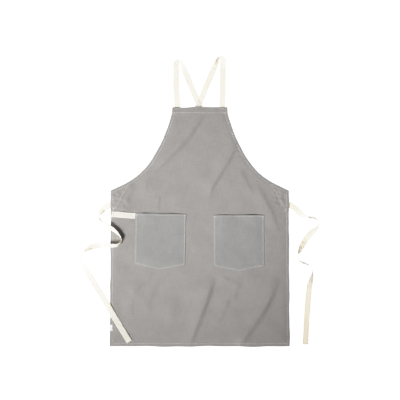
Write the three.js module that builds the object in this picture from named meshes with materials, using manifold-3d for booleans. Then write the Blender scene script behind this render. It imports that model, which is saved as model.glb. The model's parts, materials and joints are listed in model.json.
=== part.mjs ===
// Cross-back artist smock apron, laid flat with its front up.
// Millimetres. +X to the right, +Y towards the bib, +Z up off the table; the origin is on the
// table, under the middle of the apron without its waist ties.
import * as THREE from 'three';
import Module from 'manifold-3d';
import { mergeVertices } from 'three/addons/utils/BufferGeometryUtils.js';

const wasm = await Module();
wasm.setup();

// Cut sizes of the apron.
const waistWidth = 604;          // across the two underarm corners
const hemFlare = 7;              // how much wider the bottom hem is
const bibWidth = 185;            // across the bib's top edge
const skirtLength = 530;         // underarm corner to bottom hem
const bibHeight = 283;           // underarm corner to the bib's top edge
const topHem = 20;
const sideHem = 9;
const bottomHem = 11;
const armholeTopPull = 197;      // handles of the armhole's curve
const armholeTopAngle = 17;      // degrees from straight down
const armholeCornerPull = 102;
const armholeCornerAngle = 24;   // degrees from level
const armholeStartOut = 0.7;     // how far outside the bib's top corner the curve starts

// Materials.
const clothThickness = 0.8;
const hemFold = 0.8;
const webbingWidth = 20;
const webbingThickness = 1.2;
const threadWidth = 0.9;
const threadHeight = 0.4;
const gap = 0.3;                 // between pieces that touch

// Pockets, towel loop, corner patches and side label.
const pocketWidth = 170;
const pocketSide = 172;          // mouth to lower corner
const pocketPoint = 17;          // how far the bottom comes to a point below the corners
const pocketSpacing = 265;       // between the two pocket centres
const pocketDrop = 79;           // underarm corner to pocket mouth
const pocketRoom = 5.5;          // clear depth inside
const pocketBorder = 3.5;        // the turned edge that is sewn down
const pocketStitchInset = 3;
const mouthStitchInset = 4.5;
const loopRise = 5.5;            // room under the towel loop
const loopEnd = 10;              // the part of each end that is sewn flat
const loopDrop = 6;              // how much lower its pocket end lies
const patchWidth = 66;
const patchDepth = 66;
const patchInset = 1;            // how far the patch stays inside the panel's edge
const patchHollow = 4;           // how far its inner edge is cut in
const labelWidth = 9;
const labelHeight = 20;
const labelProud = 1.5;
const labelAboveHem = 74;

// Rows of stitching, measured in from the edges.
const sideStitchInset = 7.6;
const bottomStitchInset = 9.5;
const topStitchInset = 18.5;
const armholeStitchInset = 7.6;
const rowGap = 1.5;              // where one row stops short of another
const bartackLength = 9;
const bartackWidth = 1.8;

// Straps and ties.
const strapInset = 7;            // bib corner to the strap's outer edge
const leftStrapX = 80;           // the straight limbs above the bib
const rightStrapX = 78;
const limbDrift = 60;            // length over which a limb drifts out to its place
const crossingX = -3.5;
const crossingRise = 9.5;        // bib top to where the straps cross
const strapAngle = 22.6;         // degrees from straight up, above the crossing
const turnRadius = 9;            // of the centre line where a strap turns at the top
const turnRoll = 62;             // degrees that the webbing stands up in the turn
const strapEndDrop = 14;         // underarm corner to the strap's sewn end
const strapEndInset = 16;
const backPull = 170;            // handles of the straps' curve behind the bib
const cornerPull = 132;
const cornerRise = 22;
const crossingReach = 34;        // how far from the crossing the upper strap stays lifted
const rampLength = 30;           // over which it comes down, and over which it climbs the patch
const tieDrop = 48;              // underarm corner to the tie's swing axis
const tieOutset = 2;             // side edge to the tie's swing axis
const tieAngle = 32;             // degrees below level at which a tie leaves its side
const tieSwing = 100;            // degrees that a tie swings outward
const tieEndLength = 22;         // sewn under the corner
const climbStart = 28;           // how far outside an edge a tie starts to climb over it
const climbLength = 20;

// Fold lines that the joints turn on.
const bibFoldRise = 56;          // above the underarm corners
const strapFoldRise = 10;        // above the bib's top edge

const radians = Math.PI / 180;
const hemWidth = waistWidth + hemFlare;
const strapSlope = Math.tan(strapAngle * radians);
const turnDepth = turnRadius / Math.tan(strapAngle * radians / 2) - turnRadius;
const turnEdge = webbingWidth / 2 * Math.cos(turnRoll * radians);
const strapRise = crossingRise + (rightStrapX - crossingX) / strapSlope - turnDepth + turnEdge;
const totalLength = skirtLength + bibHeight + strapRise;
const hemY = -totalLength / 2;
const cornerY = hemY + skirtLength;
const bibTopY = cornerY + bibHeight;
const bibFoldY = cornerY + bibFoldRise;
const strapFoldY = bibTopY + strapFoldRise;
const clothUnder = 2 * webbingThickness + 2 * gap + hemFold;
const clothTop = clothUnder + clothThickness;
const rowLow = clothTop + gap;
const rowTop = rowLow + threadHeight;
const pocketY = cornerY - pocketDrop;
const pocketFaceLow = clothTop + gap + pocketRoom;
const pocketFaceTop = pocketFaceLow + clothThickness;
const patchLift = clothThickness + gap;

// Finishes.
const finishes = {
  cloth: new THREE.MeshStandardMaterial({ color: 0xa5a19d, roughness: 0.95, metalness: 0 }),
  pocketCloth: new THREE.MeshStandardMaterial({ color: 0xa1a29f, roughness: 0.95, metalness: 0 }),
  webbing: new THREE.MeshStandardMaterial({ color: 0xf3ecdf, roughness: 0.9, metalness: 0 }),
  thread: new THREE.MeshStandardMaterial({ color: 0xd2d0c8, roughness: 0.8, metalness: 0 }),
  label: new THREE.MeshStandardMaterial({ color: 0xf5f4ef, roughness: 0.7, metalness: 0 }),
};

const apron = new THREE.Group();

// One named piece. A manifold solid is turned back into a geometry first.
function addPiece(name, shape, finish) {
  const geometry = shape.isBufferGeometry ? shape : solidToGeometry(shape);
  geometry.computeVertexNormals();
  const mesh = new THREE.Mesh(geometry, finishes[finish]);
  mesh.name = name;
  apron.add(mesh);
}

function geometryToSolid(geometry) {
  const bare = geometry.clone();
  bare.deleteAttribute('normal');
  bare.deleteAttribute('uv');
  const merged = mergeVertices(bare, 1e-4);
  const vertProperties = new Float32Array(merged.attributes.position.array);
  const triVerts = new Uint32Array(merged.index.array);
  return new wasm.Manifold(new wasm.Mesh({ numProp: 3, vertProperties, triVerts }));
}

function solidToGeometry(solid) {
  const mesh = solid.getMesh();
  const geometry = new THREE.BufferGeometry();
  geometry.setAttribute('position', new THREE.BufferAttribute(mesh.vertProperties, 3));
  geometry.setIndex(new THREE.BufferAttribute(mesh.triVerts, 1));
  return geometry;
}

function joined(...shapes) {
  return shapes.map(geometryToSolid).reduce((whole, shape) => whole.add(shape));
}

// A flat piece with the given outline, between two heights.
function slab(outline, low, high) {
  const shape = new THREE.Shape(outline.map(([x, y]) => new THREE.Vector2(x, y)));
  const geometry = new THREE.ExtrudeGeometry(shape, { depth: high - low, bevelEnabled: false });
  return geometry.translate(0, 0, low);
}

// The part of a solid above (side 1) or below (side -1) a line across the apron, where it folds.
function cutAtFold(solid, y, side) {
  return solid.trimByPlane([0, side, 0], side * y + gap / 2);
}

const mirrored = (outline) => outline.map(([x, y]) => [-x, y]);

// The line at a steady distance to the left of a row of points, mitred at its bends.
function offsetLine(points, distance) {
  return points.map(([x, y], i) => {
    const before = points[Math.max(i - 1, 0)];
    const after = points[Math.min(i + 1, points.length - 1)];
    const incoming = i > 0 ? unit(x - before[0], y - before[1]) : unit(after[0] - x, after[1] - y);
    const outgoing = i < points.length - 1 ? unit(after[0] - x, after[1] - y) : incoming;
    const normalX = -(incoming[1] + outgoing[1]) / 2;
    const normalY = (incoming[0] + outgoing[0]) / 2;
    const reach = distance / (normalX * normalX + normalY * normalY);
    return [x + normalX * reach, y + normalY * reach];
  });
}

function unit(x, y) {
  const length = Math.hypot(x, y);
  return [x / length, y / length];
}

// One row of stitching along a line of points.
function threadRow(points, low = rowLow, width = threadWidth) {
  const one = offsetLine(points, width / 2);
  const other = offsetLine(points, -width / 2).reverse();
  return slab([...one, ...other], low, low + threadHeight);
}

// A value that eases from each point of a route to the next, without overshooting.
function eased(values, share) {
  const place = share * (values.length - 1);
  const index = Math.min(Math.floor(place), values.length - 2);
  return THREE.MathUtils.lerp(values[index], values[index + 1], THREE.MathUtils.smoothstep(place - index, 0, 1));
}

// A strip of webbing along a route of [x, y, roll, lift] points. Roll stands the strip up on an
// edge, in degrees, right edge up when positive; lift is how far its lower edge is off the table.
function webbingStrip(route, steps) {
  const centre = new THREE.CatmullRomCurve3(route.map(([x, y]) => new THREE.Vector3(x, y, 0)));
  const rolls = route.map(([, , roll]) => roll * radians);
  const lifts = route.map(([, , , lift]) => lift);
  const placeAt = (share) => {
    const point = centre.getPoint(THREE.MathUtils.clamp(share, 0, 1));
    const lean = eased(rolls, THREE.MathUtils.clamp(share, 0, 1));
    const rise = webbingWidth / 2 * Math.abs(Math.sin(lean)) + webbingThickness / 2 * Math.abs(Math.cos(lean));
    return point.setZ(eased(lifts, THREE.MathUtils.clamp(share, 0, 1)) + rise);
  };
  const strip = new THREE.BoxGeometry(webbingWidth, 1, webbingThickness, 1, steps, 1);
  const position = strip.attributes.position;
  const up = new THREE.Vector3(0, 0, 1);
  for (let i = 0; i < position.count; i++) {
    const share = centre.getUtoTmapping(position.getY(i) + 0.5);
    const lean = eased(rolls, share);
    const heading = placeAt(share + 0.001).sub(placeAt(share - 0.001)).normalize();
    const level = heading.clone().cross(up).normalize();
    const face = level.clone().cross(heading);
    const across = level.clone().multiplyScalar(Math.cos(lean)).addScaledVector(face, Math.sin(lean));
    const outward = face.clone().multiplyScalar(Math.cos(lean)).addScaledVector(level, -Math.sin(lean));
    const point = placeAt(share);
    point.addScaledVector(across, position.getX(i)).addScaledVector(outward, position.getZ(i));
    position.setXYZ(i, point.x, point.y, point.z);
  }
  return strip;
}

// Half of the armhole's edge, from the bib down to the underarm corner, on the +X side.
const armholeStart = new THREE.Vector2(bibWidth / 2 + armholeStartOut, bibTopY - topStitchInset);
const armholeEnd = new THREE.Vector2(waistWidth / 2, cornerY);
const armhole = new THREE.CubicBezierCurve(
  armholeStart,
  new THREE.Vector2(
    armholeStart.x + armholeTopPull * Math.sin(armholeTopAngle * radians),
    armholeStart.y - armholeTopPull * Math.cos(armholeTopAngle * radians),
  ),
  new THREE.Vector2(
    armholeEnd.x - armholeCornerPull * Math.cos(armholeCornerAngle * radians),
    armholeEnd.y + armholeCornerPull * Math.sin(armholeCornerAngle * radians),
  ),
  armholeEnd,
);

// How far along a falling curve it reaches a given height.
function curveAt(curve, y) {
  let high = 0;
  let low = 1;
  for (let i = 0; i < 40; i++) {
    const middle = (high + low) / 2;
    if (curve.getPoint(middle).y > y) {
      high = middle;
    } else {
      low = middle;
    }
  }
  return (high + low) / 2;
}

function armholePoints(from, to, steps) {
  const points = [];
  for (let i = 0; i <= steps; i++) {
    const point = armhole.getPoint(from + (to - from) * i / steps);
    points.push([point.x, point.y]);
  }
  return points;
}

// Half the skirt's width at a given height below the underarm corners.
function skirtHalf(y) {
  const share = (cornerY - y) / skirtLength;
  return (waistWidth + (hemWidth - waistWidth) * share) / 2;
}

// The skirt: one layer of cloth, with folded hems that reach the table down both sides and
// along the bottom. Its sides are left thin at the corners, where the straps and ties are sewn.
const skirtArmhole = armholePoints(curveAt(armhole, bibFoldY - gap / 2), 1, 8);
const skirtEdge = [...skirtArmhole, [hemWidth / 2, hemY]];
const skirtOutline = [...skirtEdge, ...mirrored(skirtEdge).reverse()];
const hemStopY = cornerY - patchDepth - gap;
const hemEdge = [
  [skirtHalf(hemStopY), hemStopY],
  [hemWidth / 2, hemY],
];
const hemInner = [
  [skirtHalf(hemStopY) - sideHem, hemStopY],
  [hemWidth / 2 - sideHem, hemY + bottomHem],
];
const hemOutline = [
  ...hemEdge,
  ...mirrored(hemEdge).reverse(),
  ...mirrored(hemInner),
  ...hemInner.slice().reverse(),
];
const skirtCloth = slab(skirtOutline, clothUnder, clothTop);
addPiece('skirt_panel', joined(skirtCloth, slab(hemOutline, 0, clothUnder + 0.1)), 'cloth');

// The bib: one layer of cloth with its top hem and both armhole edges folded under.
const bibArmhole = armholePoints(0, curveAt(armhole, bibFoldY + gap / 2), 22);
const bibEdge = [[bibWidth / 2, bibTopY], ...bibArmhole];
const bibOutline = [...bibEdge, ...mirrored(bibEdge).reverse()];
const bibFold = [...bibEdge, ...offsetLine(bibEdge, -sideHem).reverse()];
const topFold = [
  [bibWidth / 2, bibTopY],
  [bibWidth / 2, bibTopY - topHem],
  [-bibWidth / 2, bibTopY - topHem],
  [-bibWidth / 2, bibTopY],
];
const foldLow = clothUnder - hemFold;
const foldHigh = clothUnder + 0.1;
const belowBib = slab([
  [-waistWidth, bibFoldY + gap / 2],
  [waistWidth, bibFoldY + gap / 2],
  [waistWidth, cornerY],
  [-waistWidth, cornerY],
], 0, 2 * clothTop);
const bibCloth = joined(
  slab(bibOutline, clothUnder, clothTop),
  slab(topFold, foldLow, foldHigh),
  slab(bibFold, foldLow, foldHigh),
  slab(mirrored(bibFold), foldLow, foldHigh),
);
addPiece('bib_panel', bibCloth.subtract(geometryToSolid(belowBib)), 'cloth');

// Stitching along the hems and armholes.
const sideRowX = (y) => skirtHalf(y) - sideStitchInset;
const armholeRow = offsetLine([[bibWidth / 2, bibTopY], ...armholePoints(0, 1, 44)], -armholeStitchInset);
const bottomRowY = hemY + bottomStitchInset;
const topRowY = bibTopY - topStitchInset;
const bibRow = armholeRow.filter(([, y]) => y < topRowY - rowGap && y > bibFoldY + gap);
const skirtRow = armholeRow.filter(([x, y]) => y < bibFoldY - gap && x < sideRowX(y) - rowGap);
const cornerRowY = skirtRow[skirtRow.length - 1][1];
const topRowX = armholeRow[1][0] - rowGap;
const bottomRowX = sideRowX(bottomRowY) - rowGap;
addPiece('top_hem_stitching', threadRow([[-topRowX, topRowY], [topRowX, topRowY]]), 'thread');
addPiece('bottom_hem_stitching', threadRow([[-bottomRowX, bottomRowY], [bottomRowX, bottomRowY]]), 'thread');

// The two sides as they lie: sign is -1 on the left and 1 on the right. The cloth lies a little
// unevenly, so each side has its own shifts and turns.
const sides = [
  { name: 'left', sign: -1, strapX: leftStrapX, strapLift: 0, pocketShift: 0, pocketTurn: -1.1, tackShift: 0 },
  { name: 'right', sign: 1, strapX: rightStrapX, strapLift: webbingThickness + gap, pocketShift: -5,
    pocketTurn: 0.3, tackShift: -5 },
];

for (const { name, sign } of sides) {
  const across = (points) => points.map(([x, y]) => [sign * x, y]);
  const sideRow = [[sideRowX(cornerRowY), cornerRowY], [sideRowX(hemY), hemY + rowGap]];
  addPiece(`${name}_armhole_stitching_bib`, threadRow(across(bibRow)), 'thread');
  addPiece(`${name}_armhole_stitching_skirt`, threadRow(across(skirtRow)), 'thread');
  addPiece(`${name}_side_stitching`, threadRow(across(sideRow)), 'thread');
}

// The patch behind each underarm corner, with its inner edge cut in a shallow hollow, and the
// row of stitching that shows on the front.
for (const { name, sign, tackShift } of sides) {
  const across = (points) => points.map(([x, y]) => [sign * x, y]);
  const innerX = waistWidth / 2 - patchWidth;
  const patchTop = armholePoints(0, 1, 200).filter(([x]) => x > innerX);
  const [topX, topY] = patchTop[0];
  const lowX = waistWidth / 2 - sideHem - 2 * rowGap;
  const lowY = cornerY - patchDepth;
  const innerCurve = new THREE.QuadraticBezierCurve(
    new THREE.Vector2(topX, topY),
    new THREE.Vector2((topX + lowX) / 2 + patchHollow, (topY + lowY) / 2 - patchHollow / 2),
    new THREE.Vector2(lowX, lowY),
  );
  const inner = innerCurve.getPoints(10).map(({ x, y }) => [x, y]);
  const corner = [waistWidth / 2 - patchInset, cornerY];
  const bottom = [skirtHalf(lowY) - patchInset, lowY];
  const upperEdge = patchTop.filter((_, i) => i % 6 === 0).slice(0, -1);
  const patch = [...upperEdge, corner, bottom, ...inner.slice(1).reverse()];
  addPiece(`${name}_corner_patch`, slab(across(patch), 0, clothThickness), 'cloth');
  const tackTop = lowY + bartackLength;
  const row = inner.filter(([, y]) => y < topY - 2 * armholeStitchInset && y > tackTop + rowGap);
  addPiece(`${name}_corner_patch_stitching`, threadRow(across(row)), 'thread');
  const tackX = sideRowX(lowY) - 2 * rowGap;
  const tack = [[tackX, tackTop + tackShift], [tackX, lowY + tackShift]];
  addPiece(`${name}_corner_bartack`, threadRow(across(tack), rowLow, bartackWidth), 'thread');
}

// The patch pockets: shallow bags, open along their upper edge, with a pointed bottom.
function placeOnPocket({ sign, pocketShift, pocketTurn }) {
  return (shape) => {
    shape.rotateZ(pocketTurn * radians);
    return shape.translate(sign * pocketSpacing / 2, pocketY + pocketShift, 0);
  };
}

for (const side of sides) {
  const place = placeOnPocket(side);
  const half = pocketWidth / 2;
  const bag = [[half, 0], [half, -pocketSide], [0, -pocketSide - pocketPoint], [-half, -pocketSide], [-half, 0]];
  const border = threadRow(offsetLine(bag, -pocketBorder / 2), 0, pocketBorder);
  border.scale(1, 1, (pocketRoom + 0.1) / threadHeight);
  border.translate(0, 0, rowLow);
  const pocket = joined(slab(bag, pocketFaceLow, pocketFaceTop), border);
  addPiece(`${side.name}_pocket`, place(solidToGeometry(pocket)), 'pocketCloth');
  const rowZ = pocketFaceTop + gap;
  const seam = offsetLine(bag, -pocketStitchInset);
  addPiece(`${side.name}_pocket_stitching`, place(threadRow(seam, rowZ)), 'thread');
  const mouthX = half - pocketStitchInset - rowGap;
  const mouth = [[mouthX, -mouthStitchInset], [-mouthX, -mouthStitchInset]];
  addPiece(`${side.name}_pocket_mouth_stitching`, place(threadRow(mouth, rowZ)), 'thread');
  for (const [end, endSign] of [['inner', -side.sign], ['outer', side.sign]]) {
    const tackX = endSign * (half - pocketStitchInset - bartackLength / 2 + 1);
    const tack = [[tackX + bartackLength / 2, -mouthStitchInset], [tackX - bartackLength / 2, -mouthStitchInset]];
    const bartack = threadRow(tack, rowZ + threadHeight + gap, bartackWidth);
    addPiece(`${side.name}_pocket_bartack_${end}`, place(bartack), 'thread');
  }
}

// The towel loop runs from the left side seam to the left pocket, sewn flat at both ends.
const loopY = pocketY - 1;
const loopStart = -sideRowX(loopY) + rowGap;
const loopStop = -pocketSpacing / 2 - pocketWidth / 2 - rowGap;
const loopLength = loopStop - loopStart;
const loopSlope = loopDrop / loopLength;
const loopSpring = loopEnd + Math.min(loopEnd, (loopLength - 2 * loopEnd) / 4);
const loopRoute = [
  [0, 0], [loopEnd, 0], [loopSpring, loopRise + gap], [loopLength / 2, loopRise + 2 * gap],
  [loopLength - loopSpring, loopRise + gap], [loopLength - loopEnd, 0], [loopLength, 0],
].map(([along, lift]) => [loopStart + along, loopY - along * loopSlope, 0, rowLow + lift]);
addPiece('towel_loop', webbingStrip(loopRoute, 36), 'webbing');
for (const [end, along] of [['side', loopEnd / 2], ['pocket', loopLength - loopEnd / 2]]) {
  const x = loopStart + along;
  const y = loopY - along * loopSlope;
  const reach = webbingWidth / 2 - rowGap;
  const tack = threadRow([[x, y + reach], [x, y - reach]], rowLow + webbingThickness + 2 * gap, bartackWidth);
  addPiece(`towel_loop_bartack_${end}`, tack, 'thread');
}

// The blank side label, folded round the left edge above the bottom hem.
const labelY = hemY + labelAboveHem;
const labelEdge = -Math.max(skirtHalf(labelY), skirtHalf(labelY - labelHeight)) - gap;
const labelLow = rowTop + gap;
const labelFace = slab([
  [labelEdge - labelProud, labelY], [labelEdge + labelWidth, labelY],
  [labelEdge + labelWidth, labelY - labelHeight], [labelEdge - labelProud, labelY - labelHeight],
], labelLow, labelLow + clothThickness);
const labelTurn = slab([
  [labelEdge - labelProud, labelY], [labelEdge - gap, labelY],
  [labelEdge - gap, labelY - labelHeight], [labelEdge - labelProud, labelY - labelHeight],
], gap, labelLow + clothThickness / 2);
addPiece('side_label', joined(labelFace, labelTurn), 'label');

// Each shoulder strap is one length of webbing: from under the bib's top hem up, round an open
// turn that stands on its edge, down over the crossing and behind the bib to the far corner.
// The parts of a strap's route, as if it lay on the right.
function strapLine({ sign, strapX, strapLift }) {
  const angle = strapAngle * radians;
  const sewnX = bibWidth / 2 - strapInset - webbingWidth / 2;
  const crossX = sign * crossingX;
  const crossY = bibTopY + crossingRise;
  const turnY = crossY + (strapX - crossX) / strapSlope - turnDepth - turnRadius;
  const liftAt = (y) => {
    const beyond = Math.max(0, Math.abs(y - crossY) - crossingReach);
    return strapLift * Math.max(0, 1 - beyond / rampLength);
  };
  const onLimb = (y, roll = 0) => {
    const share = THREE.MathUtils.clamp((y - bibTopY) / limbDrift, 0, 1);
    return [THREE.MathUtils.lerp(sewnX, strapX, share), y, -roll, 0];
  };
  const onTurn = (degrees, roll) => [
    strapX - turnRadius + turnRadius * Math.cos(degrees * radians),
    turnY + turnRadius * Math.sin(degrees * radians),
    -roll,
    0,
  ];
  const onDiagonal = (y, roll = 0) => [crossX + (y - crossY) * strapSlope, y, -roll, liftAt(y)];
  const endX = strapEndInset - waistWidth / 2;
  const endY = cornerY - strapEndDrop;
  const back = new THREE.CubicBezierCurve(
    new THREE.Vector2(crossX, crossY),
    new THREE.Vector2(crossX - backPull * Math.sin(angle), crossY - backPull * Math.cos(angle)),
    new THREE.Vector2(endX + cornerPull, endY + cornerRise),
    new THREE.Vector2(endX, endY),
  );
  const onBack = (share) => {
    const { x, y } = back.getPoint(share);
    const overPatch = (patchWidth + rampLength - waistWidth / 2 - x) / rampLength;
    return [x, y, 0, liftAt(y) + patchLift * THREE.MathUtils.clamp(overPatch, 0, 1)];
  };
  return { onLimb, onTurn, onDiagonal, onBack, back, turnY };
}

for (const side of sides) {
  const { onLimb, onTurn, onDiagonal, onBack, back, turnY } = strapLine(side);
  const placed = (route) => route.map(([x, y, roll, lift]) => [side.sign * x, y, side.sign * roll, lift]);
  const reachOver = webbingWidth / 2;
  const foldShare = (beyond) => curveAt(back, bibFoldY + beyond);
  const hemShare = curveAt(back, bibTopY - topHem);
  const backRoute = (from, to, steps) => {
    const shares = Array.from({ length: steps + 1 }, (_, i) => from + (to - from) * i / steps);
    return shares.map(onBack);
  };
  const sewnEnd = [onLimb(bibTopY - topHem + 2), onLimb(bibTopY), onLimb(strapFoldY + reachOver)];
  const overShoulder = [
    onLimb(strapFoldY - reachOver),
    onLimb(strapFoldY + 20),
    onLimb(strapFoldY + 50),
    onLimb(turnY - 50),
    onLimb(turnY - 28, 6),
    onLimb(turnY - 12, 32),
    onTurn(15, 52),
    onTurn(55, turnRoll),
    onTurn(100, turnRoll),
    onTurn(140, 54),
    onDiagonal(turnY - 10, 34),
    onDiagonal(turnY - 26, 8),
    onDiagonal(turnY - 48),
    onDiagonal((turnY + strapFoldY) / 2),
    onDiagonal(strapFoldY + 30),
    onDiagonal(strapFoldY - reachOver),
  ];
  const behindBib = [
    onDiagonal(strapFoldY + reachOver),
    onDiagonal(bibTopY),
    ...backRoute(hemShare, foldShare(-reachOver), 8),
  ];
  const behindSkirt = backRoute(foldShare(reachOver), 1, 10);
  const strip = (route, steps) => geometryToSolid(webbingStrip(placed(route), steps));
  addPiece(`${side.name}_strap_sewn_end`, cutAtFold(strip(sewnEnd, 6), strapFoldY, -1), 'webbing');
  addPiece(`${side.name}_shoulder_strap`, cutAtFold(strip(overShoulder, 64), strapFoldY, 1), 'webbing');
  const bibSide = cutAtFold(strip(behindBib, 24), strapFoldY, -1);
  addPiece(`${side.name}_back_strap_bib`, cutAtFold(bibSide, bibFoldY, 1), 'webbing');
  addPiece(`${side.name}_back_strap_skirt`, cutAtFold(strip(behindSkirt, 24), bibFoldY, -1), 'webbing');
  const [tackX] = onLimb(bibTopY - topHem / 2);
  const reach = webbingWidth / 2 - rowGap;
  const tackY = bibTopY - topHem / 4;
  const tack = [[side.sign * tackX - reach, tackY], [side.sign * tackX + reach, tackY]];
  addPiece(`${side.name}_strap_bartack`, threadRow(tack, rowLow, bartackWidth), 'thread');
}

// The waist ties: webbing that lies where it fell, standing on its edge round each bend. The
// places are counted from where each tie leaves its side, and the last number is how far the
// webbing is held off what it lies on.
const tieY = cornerY - tieDrop;
const tieX = skirtHalf(tieY) + tieOutset;
const rightTie = [
  [36, -28, -10, 0], [51, -38, -60, 0], [68, -43, -110, 0], [83, -45, -110, 0], [94, -51, -100, 0],
  [100, -62, -92, 0], [97, -73, -75, 0], [88, -84, -45, 0], [73, -97, -15, 0], [56, -119, 0, 0],
  [43, -141, 15, 0], [34, -158, 50, 0], [29, -171, 85, 0], [28, -182, 92, 0], [35, -191, 80, 0],
  [48, -198, 70, 0], [62, -203, 75, 0], [72, -210, 88, 0], [78, -220, 90, 0], [78, -234, 68, 0],
  [74, -253, 38, 0], [69, -277, 12, 0], [66, -304, 0, 0], [62, -352, 0, 0], [58, -413, 0, 0],
  [55, -476, 0, 0],
];
const leftTie = [
  [-34, -29, -60, 0], [-38, -39, -90, 0], [-36, -48, -102, 0], [-28, -57, -98, 0], [-18, -65, -78, 0],
  [-6, -72, -58, 0], [6, -81, -50, 0], [21, -93, -60, 0], [33, -106, -80, 0], [39, -118, -90, 0],
  [35, -130, -78, 0], [25, -137, -48, 1], [8, -139, -30, 2], [-14, -138, -14, 1], [-38, -138, 0, 0],
  [-60, -143, -12, 0], [-79, -152, -48, 0], [-91, -162, -84, 0], [-98, -176, -92, 0],
  [-98, -192, -90, 0], [-92, -207, -62, 0], [-82, -224, -26, 0], [-69, -244, -4, 0], [-45, -284, 0, 0],
  [-23, -318, 0, 0], [-6, -347, 0, 0], [13, -380, 0, 0], [37, -420, 0, 0], [65, -466, 0, 0],
];

// How high a tie lies at a place: on the table, on the skirt or on a pocket.
function restingHeight(x, y) {
  const climb = (outside) => THREE.MathUtils.smoothstep(climbStart - outside, 0, climbLength);
  const onSkirt = (rowTop + 2 * gap) * climb(Math.abs(x) - skirtHalf(y));
  const sideways = Math.abs(Math.abs(x) - pocketSpacing / 2) - pocketWidth / 2;
  const lengthways = Math.max(y - pocketY, pocketY - pocketSide - y);
  const onPocket = (pocketFaceTop + threadHeight + 3 * gap) * climb(Math.max(sideways, lengthways));
  return Math.max(onSkirt, onPocket);
}

// A tie starts round about its swing axis, and its sewn end is cut clear of it all through the swing.
for (const { name, sign } of sides) {
  const fromAxis = (points) => points.map(([x, y, ...rest]) => [sign * tieX + x, tieY + y, ...rest]);
  const slope = Math.tan(tieAngle * radians);
  const onAngle = (x, lift) => [sign * x, -x * slope, 0, lift];
  const leaving = fromAxis([onAngle(0, patchLift), onAngle(12, patchLift), onAngle(21, 0)]);
  const lying = fromAxis(sign > 0 ? rightTie : leftTie);
  const rest = lying.map(([x, y, roll, lift]) => [x, y, roll, lift + restingHeight(x, y)]);
  const atAxis = (shape) => shape.translate(sign * tieX, tieY, patchLift + webbingThickness / 2);
  const disc = (radius, height) => atAxis(new THREE.CylinderGeometry(radius, radius, height, 24).rotateX(Math.PI / 2));
  const swung = new THREE.BoxGeometry(tieEndLength, webbingWidth + 2 * gap, 2 * webbingThickness);
  const swungAngle = (tieSwing - tieAngle) * radians;
  swung.translate(tieEndLength / 2, 0, 0).rotateZ(sign > 0 ? swungAngle : Math.PI - swungAngle);
  const sewnRoute = [-tieEndLength, -tieEndLength / 2, 0].map((x) => onAngle(x, patchLift));
  const sewnEnd = geometryToSolid(webbingStrip(fromAxis(sewnRoute), 6))
    .subtract(geometryToSolid(disc(webbingWidth / 2 + gap, 2 * webbingThickness)))
    .subtract(geometryToSolid(atAxis(swung)));
  const tie = joined(webbingStrip([...leaving, ...rest], 110), disc(webbingWidth / 2, webbingThickness));
  addPiece(`${name}_tie_sewn_end`, sewnEnd, 'webbing');
  addPiece(`${name}_waist_tie`, tie, 'webbing');
}

export default apron;
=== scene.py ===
import json
import math

import bpy
import numpy as np
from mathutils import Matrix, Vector


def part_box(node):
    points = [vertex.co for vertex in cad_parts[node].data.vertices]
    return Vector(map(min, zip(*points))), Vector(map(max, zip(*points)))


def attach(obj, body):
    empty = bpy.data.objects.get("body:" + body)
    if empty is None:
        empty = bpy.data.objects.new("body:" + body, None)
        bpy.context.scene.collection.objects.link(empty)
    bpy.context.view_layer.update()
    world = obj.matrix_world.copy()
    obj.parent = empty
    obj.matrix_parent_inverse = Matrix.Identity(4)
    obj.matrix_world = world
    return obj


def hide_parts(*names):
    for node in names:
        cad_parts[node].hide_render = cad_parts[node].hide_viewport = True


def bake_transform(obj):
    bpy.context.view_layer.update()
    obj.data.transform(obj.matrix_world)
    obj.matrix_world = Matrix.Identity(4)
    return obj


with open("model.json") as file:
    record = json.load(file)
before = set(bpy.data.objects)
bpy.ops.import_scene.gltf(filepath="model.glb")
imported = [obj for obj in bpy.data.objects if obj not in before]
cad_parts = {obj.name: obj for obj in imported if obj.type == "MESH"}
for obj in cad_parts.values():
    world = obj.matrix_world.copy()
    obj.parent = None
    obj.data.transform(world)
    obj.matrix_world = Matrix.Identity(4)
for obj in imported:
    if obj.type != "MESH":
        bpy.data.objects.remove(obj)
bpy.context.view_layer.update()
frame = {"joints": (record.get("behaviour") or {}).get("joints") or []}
up = np.array([0.0, 0.0, 1.0])


# nodes
class Wire:
    # a socket that can stand in a sum
    def __init__(self, finish, socket):
        self.finish = finish
        self.socket = socket

    def maths(self, operation, first, second=0.0):
        return self.finish.node("Math", {"operation": operation}, {0: first, 1: second})

    def __add__(self, other):
        return self.maths("ADD", self, other)

    __radd__ = __add__

    def __sub__(self, other):
        return self.maths("SUBTRACT", self, other)

    def __rsub__(self, other):
        return self.maths("SUBTRACT", other, self)

    def __mul__(self, other):
        return self.maths("MULTIPLY", self, other)

    __rmul__ = __mul__

    def __abs__(self):
        return self.maths("ABSOLUTE", self)

    def sine(self):
        return self.maths("SINE", self)


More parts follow.
